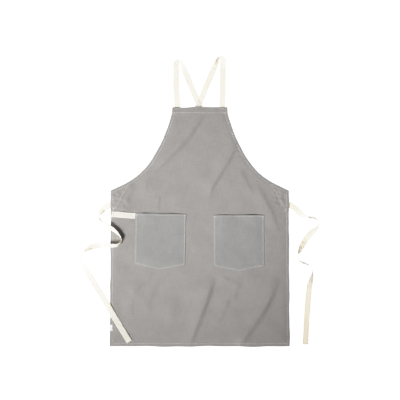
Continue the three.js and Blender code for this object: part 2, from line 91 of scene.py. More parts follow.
class Finish:
    # a material, and the ways to add nodes to it
    def __init__(self, name, **fixed):
        self.material = bpy.data.materials.new(name)
        self.material.use_nodes = True
        self.tree = self.material.node_tree
        self.shader = self.tree.nodes["Principled BSDF"]
        for socket, value in fixed.items():
            self.shader.inputs[socket.replace("_", " ")].default_value = value

    def node(self, kind, settings=None, values=None, output=0):
        made = self.tree.nodes.new("ShaderNode" + kind)
        for key, value in (settings or {}).items():
            setattr(made, key, value)
        for key, value in (values or {}).items():
            if isinstance(value, Wire):
                self.tree.links.new(value.socket, made.inputs[key])
            else:
                made.inputs[key].default_value = value
        return Wire(self, made.outputs[output])

    def feed(self, socket, wire):
        self.tree.links.new(wire.socket, self.shader.inputs[socket])

    def place(self):
        return self.node("Attribute", {"attribute_name": "weavePlace"}, output="Vector")

    def parts(self, vector):
        made = self.tree.nodes.new("ShaderNodeSeparateXYZ")
        self.tree.links.new(vector.socket, made.inputs[0])
        return [Wire(self, socket) for socket in made.outputs]

    def stretched(self, vector, scale):
        return self.node("VectorMath", {"operation": "MULTIPLY"}, {0: vector, 1: scale})

    def noise(self, vector, scale, detail=2.0, roughness=0.5):
        return self.node("TexNoise", None, {"Vector": vector, "Scale": scale, "Detail": detail,
                                            "Roughness": roughness})

    def between(self, factor, low, high):
        return self.node("Mix", {"data_type": "RGBA"}, {0: factor, 6: low, 7: high}, output=2)

    def bump(self, height, distance):
        self.feed("Normal", self.node("Bump", None, {"Height": height, "Distance": distance}))


def colour(red, green, blue):
    return (red, green, blue, 1.0)


canvas = {
    "warpSlub": (850.0, 28.0, 9.0), "weftSlub": (28.0, 850.0, 9.0), "fleck": (260.0, 190.0, 9.0),
    "mottle": 26.0,
    "warpTone": 0.9, "weftTone": 0.6, "fleckTone": 1.0, "mottleTone": 0.5, "weaveTone": 0.22,
    "wearShare": 0.5, "relief": 0.0004,
}


def canvasFinish(name, spec):
    # plain-weave canvas: warp and weft threads, slubs, mottling and paler worn edges
    finish = Finish(name, Roughness=0.92, Sheen_Weight=0.12, Sheen_Roughness=0.6,
                    Specular_IOR_Level=0.25)
    place = finish.place()
    across, along, wear = finish.parts(place)
    flat = finish.node("CombineXYZ", None, {"X": across, "Y": along, "Z": spec["seed"]})
    pitch = math.pi / spec["threadPitch"]
    warp = (across * pitch).sine()
    weft = (along * pitch).sine()
    over = warp * weft * 0.5 + 0.5
    weave = abs(warp) * over + abs(weft) * (1.0 - over)
    warpSlubs = finish.noise(finish.stretched(flat, canvas["warpSlub"]), 1.0)
    weftSlubs = finish.noise(finish.stretched(flat, canvas["weftSlub"]), 1.0)
    fleck = finish.noise(finish.stretched(flat, canvas["fleck"]), 1.0, 3.0, 0.65)
    mottle = finish.noise(flat, canvas["mottle"], 3.0, 0.6)
    tone = (0.5 + (warpSlubs - 0.5) * canvas["warpTone"] + (weftSlubs - 0.5) * canvas["weftTone"]
            + (fleck - 0.5) * canvas["fleckTone"] + (mottle - 0.5) * canvas["mottleTone"]
            + (weave - 0.5) * canvas["weaveTone"])
    body = finish.between(tone, spec["dark"], spec["light"])
    finish.feed("Base Color", finish.between(wear * canvas["wearShare"], body, spec["worn"]))
    finish.feed("Roughness", 0.86 + weave * 0.1)
    finish.bump(weave * 0.6 + warpSlubs * 0.35 + weftSlubs * 0.3, canvas["relief"])
    return finish.material


def webbingFinish(name, spec):
    # cotton tape in herringbone, with plain bright selvedges
    finish = Finish(name, Roughness=0.9, Sheen_Weight=0.05, Sheen_Roughness=0.5, Specular_IOR_Level=0.2,
                    Subsurface_Weight=0.7, Subsurface_Scale=0.0026, Subsurface_Radius=(1.0, 0.95, 0.85))
    across, along, edge = finish.parts(finish.place())
    zigzag = finish.node("Math", {"operation": "PINGPONG"}, {0: across, 1: spec["band"]})
    chevron = ((along + zigzag) * (2 * math.pi / spec["pitch"])).sine() * 0.5 + 0.5
    columns = abs((across * (math.pi / spec["column"])).sine())
    flat = finish.node("CombineXYZ", None, {"X": across, "Y": along, "Z": 0.0})
    fuzz = finish.noise(finish.stretched(flat, (900.0, 240.0, 1.0)), 1.0, 3.0, 0.6)
    stain = finish.noise(flat, 38.0, 2.0)
    weave = (chevron * 0.6 + columns * 0.4) * (1.0 - edge) + edge * (
        (along * (2 * math.pi / spec["pick"])).sine() * 0.2 + 0.7)
    tone = weave * 0.5 + fuzz * 0.55 + (stain - 0.5) * 0.5
    body = finish.between(tone, spec["dark"], spec["light"])
    finish.feed("Base Color", finish.between(edge * 0.7, body, spec["selvedge"]))
    finish.feed("Roughness", 0.82 + fuzz * 0.15)
    finish.bump(weave * 0.7 + fuzz * 0.3, spec["relief"])
    return finish.material


def threadFinish(name, spec):
    # two-ply sewing thread: the plies wind round it
    finish = Finish(name, Roughness=0.6, Sheen_Weight=0.2, Specular_IOR_Level=0.4)
    around, along, chance = finish.parts(finish.place())
    ply = ((around + along * (2 * math.pi / spec["twist"])).sine() * 0.5 + 0.5)
    finish.feed("Base Color", finish.between(ply * 0.6 + chance * 0.4, spec["dark"], spec["light"]))
    finish.feed("Roughness", 0.52 + ply * 0.2)
    finish.bump(ply, spec["relief"])
    return finish.material


def labelFinish(name, spec):
    # woven satin tape, left blank
    finish = Finish(name, Roughness=0.55, Sheen_Weight=0.2, Specular_IOR_Level=0.45)
    across, along, edge = finish.parts(finish.place())
    rib = (along * (2 * math.pi / spec["pitch"])).sine() * 0.5 + 0.5
    flat = finish.node("CombineXYZ", None, {"X": across, "Y": along, "Z": 0.0})
    fuzz = finish.noise(finish.stretched(flat, (1400.0, 300.0, 1.0)), 1.0)
    body = finish.between(rib * 0.4 + fuzz * 0.6, spec["dark"], spec["light"])
    finish.feed("Base Color", finish.between(edge, body, spec["edge"]))
    finish.feed("Roughness", 0.5 + fuzz * 0.15)
    finish.bump(rib * 0.7 + fuzz * 0.3, spec["relief"])
    return finish.material


apronCanvas = canvasFinish("apron canvas", {
    "threadPitch": 0.0009, "seed": 0.0,
    "dark": colour(0.272, 0.257, 0.247), "light": colour(0.405, 0.386, 0.372),
    "worn": colour(0.45, 0.435, 0.42),
})
pocketCanvas = canvasFinish("pocket canvas", {
    "threadPitch": 0.0009, "seed": 3.0,
    "dark": colour(0.256, 0.252, 0.245), "light": colour(0.382, 0.377, 0.368),
    "worn": colour(0.43, 0.43, 0.42),
})
tapeFinish = webbingFinish("cotton webbing", {
    "band": 0.004, "pitch": 0.0016, "column": 0.004, "pick": 0.0012, "relief": 0.00022,
    "dark": colour(0.768, 0.718, 0.634), "light": colour(0.882, 0.834, 0.748),
    "selvedge": colour(0.81, 0.768, 0.688),
})
threadMaterial = threadFinish("sewing thread", {
    "twist": 0.0011, "relief": 0.00012, "dark": colour(0.66, 0.655, 0.63), "light": colour(0.86, 0.855, 0.83),
})
labelMaterial = labelFinish("woven label", {
    "pitch": 0.0006, "relief": 0.0001,
    "dark": colour(0.80, 0.80, 0.79), "light": colour(0.93, 0.93, 0.92), "edge": colour(0.97, 0.97, 0.97),
})
print("finishes made")


# camera
view = {"height": 5.1, "lens": 135.0, "x": 0.0007, "y": 0.0044, "aimZ": 0.004}
cameraData = bpy.data.cameras.new("overhead")
cameraData.lens = view["lens"]
cameraData.sensor_width = 36.0
camera = bpy.data.objects.new("overhead", cameraData)
camera.location = (view["x"], view["y"], view["aimZ"] + view["height"])
bpy.context.scene.collection.objects.link(camera)
bpy.context.scene.camera = camera


# making meshes
def addMesh(name, points, faces, material, weave=None):
    mesh = bpy.data.meshes.new(name)
    mesh.from_pydata([tuple(p) for p in points], [], faces)
    if weave is not None:
        mesh.attributes.new("weavePlace", "FLOAT_VECTOR", "POINT")
        mesh.attributes["weavePlace"].data.foreach_set("vector", np.asarray(weave, np.float32).ravel())
    mesh.materials.append(material)
    mesh.shade_smooth()
    made = bpy.data.objects.new(name, mesh)
    bpy.context.scene.collection.objects.link(made)
    return made


def applyAll(piece):
    # the piece with its modifiers made real
    evaluated = piece.evaluated_get(bpy.context.evaluated_depsgraph_get())
    mesh = bpy.data.meshes.new_from_object(evaluated)
    piece.modifiers.clear()
    piece.data = mesh
    return piece


def thicken(piece, thickness):
    solid = piece.modifiers.new("thickness", "SOLIDIFY")
    solid.thickness = thickness
    solid.offset = 0.0
    return applyAll(piece)


def gridFaces(rows, columns):
    return [(r * columns + c, r * columns + c + 1, (r + 1) * columns + c + 1, (r + 1) * columns + c)
            for r in range(rows - 1) for c in range(columns - 1)]


def smoothstep(value, low, high):
    share = np.clip((value - low) / (high - low), 0.0, 1.0)
    return share * share * (3 - 2 * share)


def mix(low, high, share):
    return low + (high - low) * share


def hump(value, middle, width):
    return np.exp(-0.5 * ((value - middle) / width) ** 2)


def unit(vectors):
    return vectors / np.linalg.norm(vectors, axis=-1, keepdims=True)


def lengthsAlong(line):
    return np.concatenate([[0.0], np.cumsum(np.linalg.norm(np.diff(line, axis=0), axis=1))])


def smoothLine(points, perSpan):
    # a curve through the points, evenly drawn out by the square root of each span
    points = np.asarray(points, float)
    ends = [2 * points[0] - points[1], *points, 2 * points[-1] - points[-2]]
    made = []
    for i in range(len(points) - 1):
        p0, p1, p2, p3 = (np.asarray(p, float) for p in ends[i:i + 4])
        d0, d1, d2 = (max(np.linalg.norm(b - a) ** 0.5, 1e-4) for a, b in ((p0, p1), (p1, p2), (p2, p3)))
        m1 = ((p1 - p0) / d0 - (p2 - p0) / (d0 + d1) + (p2 - p1) / d1) * d1
        m2 = ((p2 - p1) / d1 - (p3 - p1) / (d1 + d2) + (p3 - p2) / d2) * d1
        for k in range(perSpan):
            t = k / perSpan
            made.append((2 * t**3 - 3 * t**2 + 1) * p1 + (t**3 - 2 * t**2 + t) * m1
                        + (3 * t**2 - 2 * t**3) * p2 + (t**3 - t**2) * m2)
    made.append(points[-1])
    return np.array(made)


# sizes shared by the pieces
def joint(name):
    return next(j for j in frame["joints"] if j["name"] == name)


sides = {"left": -1, "right": 1}
webbing = {"width": 0.020, "thickness": 0.0012, "step": 0.0028, "bead": 0.0002, "selvedge": (0.72, 0.86)}
panel = {
    "waist": 0.604, "bib": 0.185, "skirtLength": 0.530, "thickness": 0.0008,
    "armholeStartOut": 0.0007, "armholeStartDrop": 0.0185, "armholeTopPull": 0.197,
    "armholeTopAngle": 17.0, "armholeCornerPull": 0.102, "armholeCornerAngle": 24.0,
    "rest": 0.0046, "layer": 0.00095, "sideHem": 0.009, "bottomHem": 0.011, "topHem": 0.020,
}
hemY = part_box("skirt_panel")[0].y
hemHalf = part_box("skirt_panel")[1].x
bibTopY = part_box("bib_panel")[1].y
cornerY = hemY + panel["skirtLength"]
bibFoldY = joint("bib_fold")["pos_m"][1]
strapFoldY = joint("strap_fold")["pos_m"][1]
tieAxes = {side: joint(f"{side}_tie_swing")["pos_m"] for side in sides}


# webbing
def webbingRing():
    # the tape's section, out along its face and back along its rear
    places = [-1.0, -0.985, -0.94, -0.86, -0.7, -0.45, -0.15, 0.15, 0.45, 0.7, 0.86, 0.94, 0.985, 1.0]
    face = []
    for place in places:
        rounding = max(0.0, (abs(place) - 0.9) / 0.1)
        bead = webbing["bead"] if 0.75 < abs(place) < 0.99 else 0.0
        height = (webbing["thickness"] / 2 + bead) * math.sqrt(max(0.0, 1 - rounding**2))
        face.append((place * webbing["width"] / 2, height))
    rear = [(across, -height) for across, height in reversed(face[1:-1])]
    return face + rear


def alongRoute(route):
    # centre points and directions of a strip that follows [x, y, roll, lift] points
    route = np.asarray(route, float)
    spans = np.linalg.norm(np.diff(route[:, :2], axis=0), axis=1)
    perSpan = max(2, int(math.ceil(np.median(spans) / webbing["step"])))
    flat = smoothLine(np.column_stack([route[:, :2], np.zeros(len(route))]), perSpan)
    share = np.linspace(0, len(route) - 1, len(flat))
    index = np.minimum(share.astype(int), len(route) - 2)
    ease = smoothstep(share - index, 0.0, 1.0)
    roll = np.radians(mix(route[index, 2], route[index + 1, 2], ease))
    lift = mix(route[index, 3], route[index + 1, 3], ease)
    centre = flat.copy()
    centre[:, 2] = (lift + webbing["width"] / 2 * np.abs(np.sin(roll))
                    + webbing["thickness"] / 2 * np.abs(np.cos(roll)))
    heading = unit(np.gradient(centre, axis=0))
    level = unit(np.cross(heading, up))
    face = np.cross(level, heading)
    across = level * np.cos(roll)[:, None] + face * np.sin(roll)[:, None]
    outward = face * np.cos(roll)[:, None] - level * np.sin(roll)[:, None]
    return centre, across, outward


def addWebbing(name, route):
    centre, across, outward = alongRoute(route)
    ring = webbingRing()
    length = lengthsAlong(centre)
    points, weave, faces = [], [], []
    count = len(ring)
    for i, middle in enumerate(centre):
        for a, b in ring:
            points.append(middle + across[i] * a + outward[i] * b)
            weave.append((a, length[i], smoothstep(abs(a) / webbing["width"] * 2, *webbing["selvedge"])))
    for i in range(len(centre) - 1):
        for k in range(count):
            faces.append((i * count + k, i * count + (k + 1) % count,
                          (i + 1) * count + (k + 1) % count, (i + 1) * count + k))
    last = (len(centre) - 1) * count
    faces.append(tuple(reversed(range(count))))
    faces.append(tuple(last + k for k in range(count)))
    made = addMesh(name, points, faces, tapeFinish, weave)
    return made, centre, float(length[-1])


# waist ties: webbing that lies where it fell
# millimetres from the swing axis, degrees of roll, and any millimetres of lift off what it lies on
rightTie = [
    [36, -28, -10], [51, -38, -60], [68, -43, -110], [83, -45, -110], [94, -51, -100],
    [100, -62, -92], [97, -73, -75], [88, -84, -45], [73, -97, -15], [56, -119, 0],
    [43, -141, 15], [34, -158, 50], [29, -171, 85], [28, -182, 92], [35, -191, 80],
    [48, -198, 70], [62, -203, 75], [72, -210, 88], [78, -220, 90], [78, -234, 68],
    [74, -253, 38], [69, -277, 12], [66, -304, 0], [62, -352, 0], [58, -413, 0],
    [55, -476, 0],
]
leftTie = [
    [-34, -29, -38], [-38, -39, -86], [-36, -48, -104], [-28, -57, -98], [-18, -65, -78],
    [-6, -72, -58], [6, -81, -50], [21, -93, -60], [33, -106, -80], [39, -118, -92],
    [35, -130, -106, 2], [25, -137, -117, 5], [8, -139, -126, 6], [-14, -138, -144, 4], [-38, -138, -178],
    [-60, -143, -192], [-79, -152, -228], [-91, -162, -264], [-98, -176, -272],
    [-98, -192, -270], [-92, -207, -242], [-82, -224, -206], [-69, -244, -184],
    [-45, -284, -180], [-23, -318, -180], [-6, -347, -180], [13, -380, -180],
    [37, -420, -180], [65, -466, -180],
]
tie = {"angle": 32.0, "startLift": 1.1, "climbStart": 28.0, "climbLength": 20.0, "overSkirt": 5.9,
       "sewnFrom": (0.024, 0.018, 0.0125)}


def onSkirtHeight(x, y):
    outside = abs(x) - skirtHalf(y / 1000) * 1000
    return tie["overSkirt"] * float(smoothstep(tie["climbStart"] - outside, 0.0, tie["climbLength"]))


def skirtHalf(y):
    return mix(panel["waist"] / 2, hemHalf, (cornerY - y) / panel["skirtLength"])


def tieRoute(side, lying):
    sign = sides[side]
    axisX, axisY = (1000 * v for v in tieAxes[side][:2])
    slope = math.tan(math.radians(tie["angle"]))
    leaving = [[sign * x, -x * slope, 0, lift]
               for x, lift in ((-5, tie["startLift"]), (12, tie["startLift"]), (21, 0.0))]
    route = []
    for i, (x, y, roll, *lift) in enumerate(leaving + lying):
        placed = (x + axisX, y + axisY)
        rests = onSkirtHeight(*placed) if i >= len(leaving) else 0.0
        route.append([placed[0] / 1000, placed[1] / 1000, roll, (sum(lift) + rests) / 1000])
    return route


tieLengths = {}
for side, lying in (("left", leftTie), ("right", rightTie)):
    piece, centre, length = addWebbing(f"{side}_tie", tieRoute(side, lying))
    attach(piece, f"{side}_tie")
    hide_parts(f"{side}_waist_tie")
    tuple(tieAxes[side])
    [tuple(p) for p in centre]
    tieLengths[side] = length
print("ties made", tieLengths)


# the apron panel's outline
def bezier(points, share):
    share = np.asarray(share, float)[..., None]
    rest = 1 - share
    p0, p1, p2, p3 = (np.asarray(p, float) for p in points)
    return rest**3 * p0 + 3 * rest**2 * share * p1 + 3 * rest * share**2 * p2 + share**3 * p3


def pulled(point, length, degrees, towards):
    angle = math.radians(degrees)
    return (point[0] + towards[0] * length * math.sin(angle),
            point[1] + towards[1] * length * math.cos(angle))


armholeStart = (panel["bib"] / 2 + panel["armholeStartOut"], bibTopY - panel["armholeStartDrop"])
armholeEnd = (panel["waist"] / 2, cornerY)
armholeCurve = [
    armholeStart,
    pulled(armholeStart, panel["armholeTopPull"], panel["armholeTopAngle"], (1, -1)),
    pulled(armholeEnd, panel["armholeCornerPull"], 90 - panel["armholeCornerAngle"], (-1, 1)),
    armholeEnd,
]
armholeLine = np.vstack([[panel["bib"] / 2, bibTopY], bezier(armholeCurve, np.linspace(0, 1, 400))])


def halfAt(y):
    # half the panel's width at a height
    y = np.asarray(y, float)
    onArmhole = np.interp(-y, -armholeLine[:, 1], armholeLine[:, 0])
    return np.where(y > cornerY, onArmhole, skirtHalf(y))


# how high the cloth lies
# lines where the cloth turns away from the light, in millimetres: each fold's height, its half
# width and its line; the crest lies on the right of the line's way
folds = [
    (7.6, 8, [(28, 304), (2, 270), (-32, 222), (-66, 181), (-100, 147), (-134, 113), (-190, 52)]),
    (6.0, 6, [(138, 197), (120, 169), (93, 125), (65, 79), (45, 45), (32, -8)]),
    (1.9, 6, [(138, 123), (154, 84), (170, 49), (196, 8)]),
    (3.6, 8, [(188, 76), (206, 40), (224, 8), (246, -34), (261, -73), (276, -115)]),
    (1.8, 4, [(-135, 21), (-142, -36)]),
    (3.2, 6, [(-212, 52), (-236, 20), (-244, -13)]),
    (10.5, 9, [(278, -248), (256, -302), (234, -350), (197, -410), (150, -475), (128, -505)]),
    (3.0, 7, [(110, -315), (90, -366), (70, -407), (48, -431)]),
    (8.0, 8, [(52, -256), (45, -282), (36, -312), (22, -353), (7, -393), (-9, -434), (-24, -475),
              (-35, -505)]),
    (2.0, 6, [(66, -252), (112, -270), (154, -297)]),
    (1.6, 6, [(-224, -325), (-229, -360), (-227, -404)]),
    (4.0, 7, [(-142, -237), (-200, -285), (-231, -325)]),
    (2.2, 7, [(-122, -250), (-152, -305), (-168, -345), (-171, -395)]),
    (1.1, 9, [(-60, -290), (-82, -350), (-90, -420)]),
    (2.6, 7, [(150, -262), (128, -300), (118, -350)]),
    (1.6, 8, [(-150, 110), (-176, 66), (-186, 20)]),
]
# millimetres of height; places, reaches, lengths and grid steps in metres
lie = {
    "sides": (0.008, 0.03), "ends": (0.012, 0.035), "top": (0.03, 0.008), "inner": 0.03,
    "strapEndsX": (0.222, 0.25), "strapEndsY": (-0.1, -0.075),
    "patchX": (0.235, 0.27), "patchY": (-0.085, -0.05), "patchEdge": (-0.004, 0.012),
    "sideDip": 1.9, "dipReach": 0.026, "cornerLift": 1.0, "overEnds": 0.6, "midBib": 1.6,
    "waves": 0.9, "waveCount": 14, "waveLength": (0.07, 0.26), "waveSeed": 11,
    "crumple": 0.9, "crumpleCount": 16, "crumpleLength": (0.010, 0.026), "gridStep": 0.002,
}
waveMaker = np.random.default_rng(lie["waveSeed"])


def ripples(count, lengths):
    return [(waveMaker.uniform(0, math.tau), waveMaker.uniform(*lengths), waveMaker.uniform(0, math.tau))
            for _ in range(count)]


waves = ripples(lie["waveCount"], lie["waveLength"])
crumples = ripples(lie["crumpleCount"], lie["crumpleLength"])


def rippled(x, y, parts):
    total = np.zeros(np.shape(x))
    for heading, length, phase in parts:
        total += np.sin((x * math.cos(heading) + y * math.sin(heading)) * math.tau / length + phase)
    return total / math.sqrt(len(parts))


def foldHeight(x, y, height, width, line):
    way = unit(np.gradient(line, axis=0))
    dx = x[..., None] - line[:, 0]
    dy = y[..., None] - line[:, 1]
    nearest = np.argmin(dx * dx + dy * dy, axis=-1)
    px = np.take_along_axis(dx, nearest[..., None], -1)[..., 0]
    py = np.take_along_axis(dy, nearest[..., None], -1)[..., 0]
    wx, wy = way[nearest, 0], way[nearest, 1]
    side = wy * px - wx * py   # positive on the crest's side
    beyond = np.abs(wx * px + wy * py)
    share = nearest / (len(line) - 1)
    taper = smoothstep(share, -0.02, 0.3) * smoothstep(1.02 - share, 0.0, 0.3)
    offset = side - width
    spread = np.where(offset > 0, width * 2.4, width)
    return height * taper * hump(offset, 0.0, spread) * hump(beyond, 0.0, 2 * width)


foldCurves = [(height / 1000, width / 1000, smoothLine([(a / 1000, b / 1000) for a, b in line], 10))
              for height, width, line in folds]


def clothShape(x, y):
    # the front face's height above the table
    x, y = np.broadcast_arrays(np.asarray(x, float), np.asarray(y, float))
    half = halfAt(y)
    toSide = half - np.abs(x)
    toEnd = np.minimum(y - hemY, bibTopY - y)
    toEdge = np.minimum(toSide, toEnd)
    overEnds = smoothstep(np.abs(x), *lie["strapEndsX"]) * smoothstep(y - cornerY, *lie["strapEndsY"])
    atTop = smoothstep(y, *(bibTopY - d for d in lie["top"]))
    dip = lie["sideDip"] * (1 - smoothstep(toEdge, 0.0, lie["dipReach"])) * (1 - overEnds) * (1 - 0.7 * atTop)
    atCorner = (1 - smoothstep(toSide, *lie["sides"])) * (1 - smoothstep(toEnd, *lie["ends"]))
    height = panel["rest"] - dip / 1000 + atCorner * lie["cornerLift"] / 1000
    inside = smoothstep(toEdge, 0.0, lie["inner"])
    height += rippled(x, y, waves) * lie["waves"] / 1000 * inside
    nearPatch = smoothstep(np.abs(x), *lie["patchX"]) * smoothstep(y - cornerY, *lie["patchY"])
    height += overEnds * lie["overEnds"] / 1000
    crumpled = nearPatch * smoothstep(toEdge, *lie["patchEdge"])
    height += (rippled(x, y, crumples) + 1) * lie["crumple"] / 1000 * crumpled
    for foldCurve in foldCurves:
        height += foldHeight(x, y, *foldCurve)
    middleBib = hump(x, -0.0035, 0.022) * smoothstep(y, bibTopY - 0.03, bibTopY)
    height += lie["midBib"] / 1000 * middleBib
    return height


gridXs = np.arange(-0.32, 0.3201, lie["gridStep"])
gridYs = np.arange(hemY - 0.01, bibTopY + 0.01, lie["gridStep"])
gridHeights = clothShape(*np.meshgrid(gridXs, gridYs))


def clothTop(x, y):
    # the same height, read from a grid
    column = np.clip((np.asarray(x, float) - gridXs[0]) / lie["gridStep"], 0, len(gridXs) - 1.001)
    row = np.clip((np.asarray(y, float) - gridYs[0]) / lie["gridStep"], 0, len(gridYs) - 1.001)
    i, j = row.astype(int), column.astype(int)
    low = mix(gridHeights[i, j], gridHeights[i, j + 1], column - j)
    high = mix(gridHeights[i + 1, j], gridHeights[i + 1, j + 1], column - j)
    return mix(low, high, row - i)


# the apron panel, with its hems turned under
def turned(depth, radius=0.0006, inward=(0.0015, 0.004)):
    # how a hem's section goes round the edge: places in from the edge and share of a layer down
    arc = [(-radius * math.sin(math.radians(a)), (1 - math.cos(math.radians(a))) / 2) for a in (45, 90, 135)]
    return [*arc, (0.0, 1.0), *[(d, 1.0) for d in inward if d < depth], (depth, 1.0)]


def hemmedColumns(hem, count):
    # share of the half width, place in from the edge and share of a layer down
    return ([(-1, e, k) for e, k in reversed(hem)] + [(u, 0.0, 0.0) for u in np.linspace(-1, 1, count)]
            + [(1, e, k) for e, k in hem])


# how far the edges wander from straight lines, in metres
edges = {"side": 0.0007, "hemLong": 0.0011, "hemShort": 0.0007, "topRise": 0.0016, "topDip": 0.0015}


def edgeWave(x, y):
    return edges["side"] * (np.sin(y * 41 + 1.3) + np.sin(y * 97 + np.sign(x) * 2.1) * 0.5)


def makePanel():
    rowYs = np.concatenate([
        np.linspace(hemY, hemY + 0.02, 8)[:-1],
        np.linspace(hemY + 0.02, cornerY - 0.02, 130)[:-1],
        np.linspace(cornerY - 0.02, cornerY + 0.04, 30)[:-1],
        np.linspace(cornerY + 0.04, bibTopY - 0.022, 62)[:-1],
        np.linspace(bibTopY - 0.022, bibTopY, 9),
    ])
    rows = [(hemY + e, k, "bottom") for e, k in reversed(turned(panel["bottomHem"]))]
    rows += [(y, 0.0, "main") for y in rowYs]
    rows += [(bibTopY - e, k, "top") for e, k in turned(panel["topHem"])]
    columns = hemmedColumns(turned(panel["sideHem"]), 172)
    y = np.array([r[0] for r in rows])[:, None]
    rowDown = np.array([r[1] for r in rows])[:, None]
    share = np.array([c[0] for c in columns])[None, :]
    inset = np.array([c[1] for c in columns])[None, :]
    columnDown = np.array([c[2] for c in columns])[None, :]
    half = halfAt(y)
    reach = 0.002
    slope = (halfAt(y + reach) - halfAt(y - reach)) / (2 * reach)
    normalX = 1 / np.sqrt(1 + slope**2)
    normalY = -slope * normalX
    sideways = np.sign(share) * inset * normalX
    x = share * half - sideways + 0 * y
    wavedY = y - inset * normalY + 0 * share
    x = x + np.sign(x) * edgeWave(x, wavedY) * smoothstep(np.abs(share), 0.7, 1.0)
    hemWave = edges["hemLong"] * np.sin(x * 23 + 0.4) + edges["hemShort"] * np.sin(x * 61)
    topWave = edges["topRise"] * hump(x, -0.004, 0.02) - edges["topDip"] * hump(x, -0.052, 0.016)
    wavedY = (wavedY + hemWave * (1 - smoothstep(y, hemY, hemY + 0.05))
          + topWave * smoothstep(y, bibTopY - 0.03, bibTopY))
    top = clothShape(np.clip(np.abs(x), 0, half) * np.sign(x), np.clip(y, hemY, bibTopY) + 0 * x)
    layer = panel["layer"]
    inHem = 1 - smoothstep(half - np.abs(x), panel["sideHem"], panel["sideHem"] + 0.006)
    under = 1 + 2 * np.maximum(inHem, columnDown)
    down = (1 - rowDown) * columnDown + rowDown * (under - columnDown)
    z = top - panel["thickness"] / 2 - down * layer
    toEnd = np.minimum(np.abs(y - hemY), np.abs(bibTopY - y))
    edgeDistance = np.minimum(np.abs(half - np.abs(x)) * normalX, toEnd)
    wear = 0.9 * hump(edgeDistance, 0.0, 0.0016) * np.ones_like(x)   # paler where the edges rub
    points = np.stack([x, wavedY, z], axis=-1).reshape(-1, 3)
    weave = np.stack([x, wavedY, wear], axis=-1).reshape(-1, 3)
    made = addMesh("apron_panel", points, gridFaces(len(rows), len(columns)), apronCanvas, weave)
    thicken(made, panel["thickness"])
    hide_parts("skirt_panel", "bib_panel")
    return made


apronPanel = makePanel()
panelArea = float(np.mean(2 * halfAt(np.linspace(hemY, bibTopY, 800)))) * (bibTopY - hemY)
bibBend = {"start": (0, bibFoldY - 0.022, 0), "end": (0, bibFoldY + 0.022, 0)}
print("panel made")


# stitches
thread = {"radius": 0.0006, "length": 0.0031, "pitch": 0.0039, "stand": 0.00035, "sink": 0.00035,
          "sides": 6, "seed": 5, "tackRadius": 0.00042, "tackPitch": 0.00075, "tackLift": 0.0002}
threadChance = np.random.default_rng(thread["seed"])


def spacedAlong(line, start, pitch):
    lengths = lengthsAlong(line)
    places = np.arange(start, lengths[-1] - start / 2, pitch)
    near = 0.0004

    def at(shift):
        return np.column_stack([np.interp(places + shift, lengths, line[:, i]) for i in range(line.shape[1])])

    way = at(near) - at(-near)
    return at(0.0), way / np.maximum(np.linalg.norm(way, axis=1)[:, None], 1e-9)


def stitchPoints(middles, ways, heightAt, length, radius, lift=0.0):
    # one small bent capsule for each stitch
    stations = np.array([-0.5, -0.42, -0.2, 0.0, 0.2, 0.42, 0.5])
    rise = np.array([-1.0, -0.35, 0.75, 1.0, 0.75, -0.35, -1.0])
    girth = np.array([0.45, 0.85, 1.0, 1.0, 1.0, 0.85, 0.45])
    points, weave, faces = [], [], []
    sides = thread["sides"]
    for middle, way in zip(middles, ways):
        chance = threadChance.uniform()
        turn = threadChance.normal(0, 0.035)
        way = np.array([way[0] - way[1] * turn, way[1] + way[0] * turn])
        across = np.array([-way[1], way[0], 0.0])
        first = len(points)
        along = stations * length
        xs = middle[0] + way[0] * along
        ys = middle[1] + way[1] * along
        base = heightAt(xs, ys) + lift
        stand = np.where(rise > 0, rise * thread["stand"], rise * thread["sink"])
        for k in range(len(stations)):
            centre = np.array([xs[k], ys[k], base[k] + stand[k]])
            for s in range(sides):
                angle = math.tau * s / sides
                points.append(centre + across * radius * girth[k] * math.cos(angle)
                              + up * radius * 0.8 * girth[k] * math.sin(angle))
                weave.append((angle, along[k], chance))
        for k in range(len(stations) - 1):
            for s in range(sides):
                a, b = first + k * sides + s, first + k * sides + (s + 1) % sides
                faces.append((a, b, b + sides, a + sides))
        faces.append(tuple(first + s for s in reversed(range(sides))))
        faces.append(tuple(first + (len(stations) - 1) * sides + s for s in range(sides)))
    return points, weave, faces


def addStitches(name, lines, heightAt, body=None, bars=(), replaces=()):
    # rows of running stitches, and bars of close stitches laid across short lines: two ends and a width
    points, weave, faces = [], [], []

    def gather(part):
        first = len(points)
        points.extend(part[0])
        weave.extend(part[1])
        faces.extend([tuple(first + i for i in face) for face in part[2]])

    for line in lines:
        middles, ways = spacedAlong(np.asarray(line, float), thread["length"] / 2, thread["pitch"])
        gather(stitchPoints(middles, ways, heightAt, thread["length"], thread["radius"]))
    for start, end, width in bars:
        middles, ways = spacedAlong(np.array([start, end], float), 0.0003, thread["tackPitch"])
        crossways = np.column_stack([-ways[:, 1], ways[:, 0]])
        gather(stitchPoints(middles, crossways, heightAt, width, thread["tackRadius"], thread["tackLift"]))
    made = addMesh(name, points, faces, threadMaterial, weave)
    if replaces:
        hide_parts(*replaces)
    if body:
        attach(made, body)
    return made


def insetLine(line, distance):
    # the same line moved to its right by a distance
    way = unit(np.gradient(line, axis=0))
    return line + np.column_stack([way[:, 1], -way[:, 0]]) * distance


